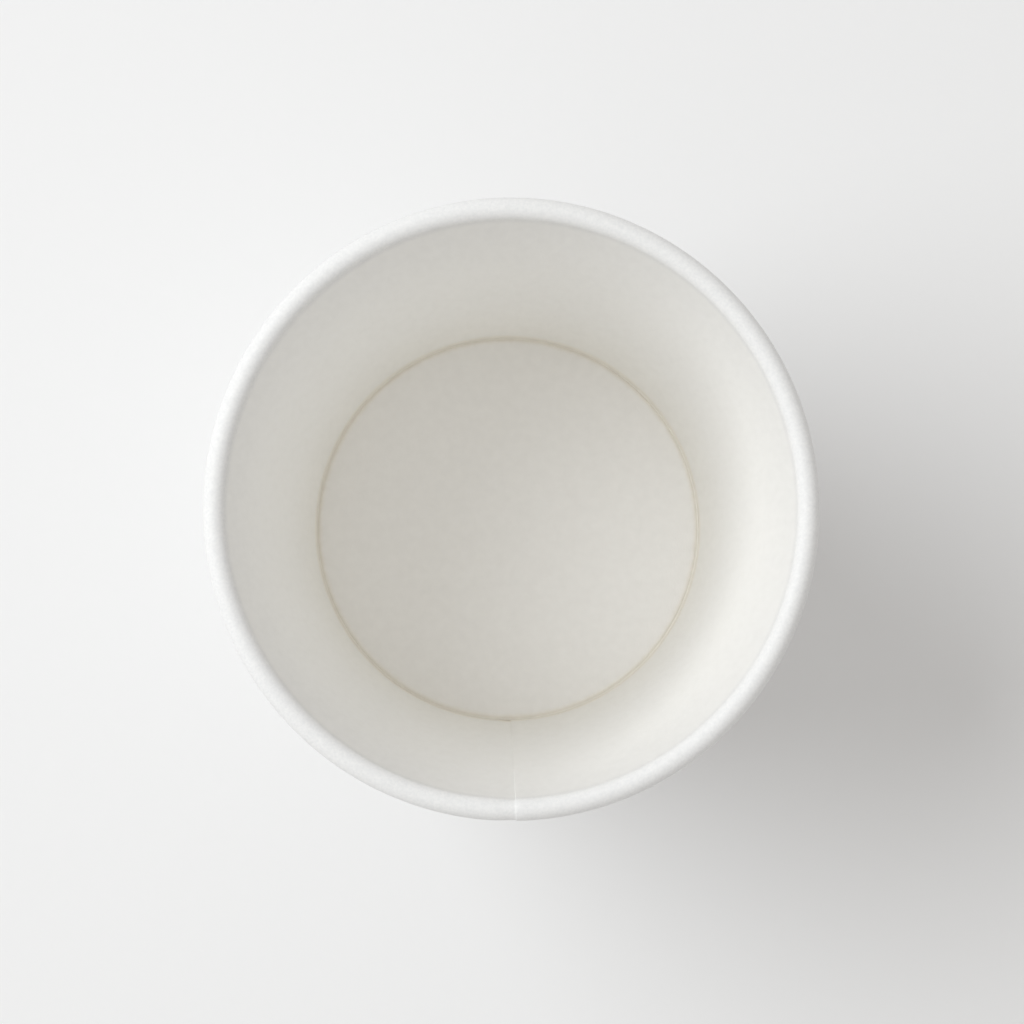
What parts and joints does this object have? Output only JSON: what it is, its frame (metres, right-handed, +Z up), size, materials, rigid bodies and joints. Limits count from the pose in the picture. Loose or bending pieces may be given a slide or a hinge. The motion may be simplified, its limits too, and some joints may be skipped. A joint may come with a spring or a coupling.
{
  "type": "double wall paper cup",
  "caption": "Open conical paper cup with a rolled rim, a recessed bottom held in a folded hem, and an outer board sleeve that keeps an air gap.",
  "frame": {"origin": "centre of the foot, on the table", "axes": "+Z up along the cup's axis; the side seam of the inner wall is at -Y and the seam of the outer sleeve at +Y"},
  "size_m": [0.08, 0.08, 0.092],
  "materials": {
    "coated_board": "white board with a thin satin coating on its inner face",
    "bottom_board": "white board with a thin satin coating on its upper face",
    "plain_board": "smooth white board, matte and uncoated"
  },
  "bodies": {
    "root": {"inner_wall": "coated_board", "bottom_disc": "bottom_board", "outer_sleeve": "plain_board"}
  },
  "joints": []
}
